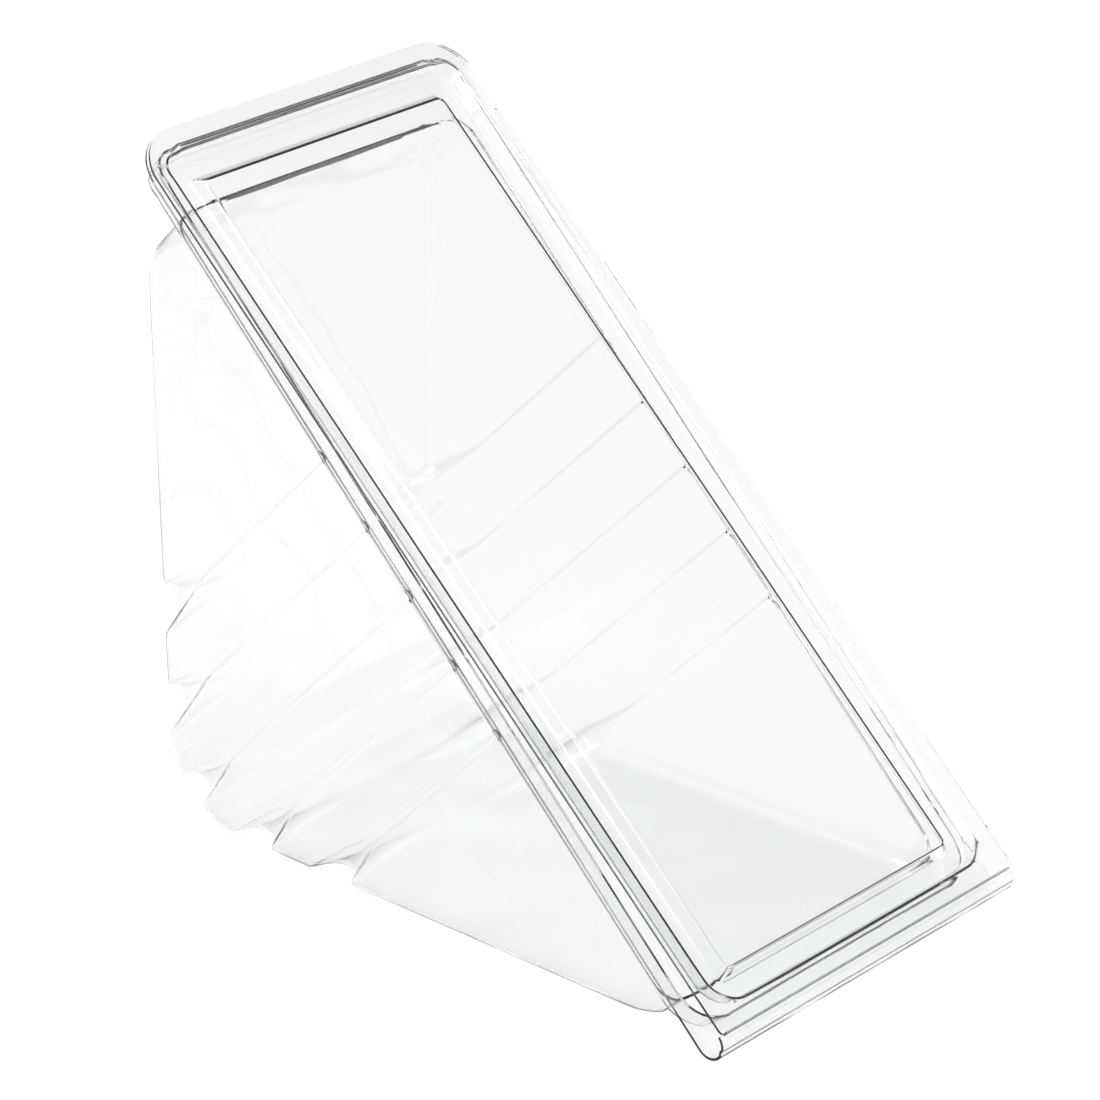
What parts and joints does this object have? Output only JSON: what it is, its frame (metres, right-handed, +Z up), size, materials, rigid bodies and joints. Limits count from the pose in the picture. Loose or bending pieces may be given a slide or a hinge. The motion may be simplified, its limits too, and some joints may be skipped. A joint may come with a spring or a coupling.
{
  "type": "sandwich wedge pack",
  "caption": "Clear thermoformed triangular sandwich pack with fluted walls, standing on its bottom wall, its lid hinged on a rolled edge at the front.",
  "frame": {"origin": "middle of the bounding box at the level of the bottom wall that the pack stands on", "axes": "+Z up, X along the hinge across the pack, the lid faces -Y and up at 45 degrees"},
  "size_m": [0.0824, 0.1385, 0.134],
  "materials": {
    "tray_sheet": "clear colourless formed plastic sheet, glossy",
    "lid_sheet": "clear colourless formed plastic sheet, glossy"
  },
  "bodies": {
    "tray": {"tray": "tray_sheet"},
    "lid": {"lid": "lid_sheet"}
  },
  "joints": [
    {"name": "lid_hinge", "type": "hinge", "parent": "tray", "child": "lid", "pos_m": [0, -0.06616, 0.0034], "axis": [1, 0, 0], "range_deg": [0, 180]}
  ]
}
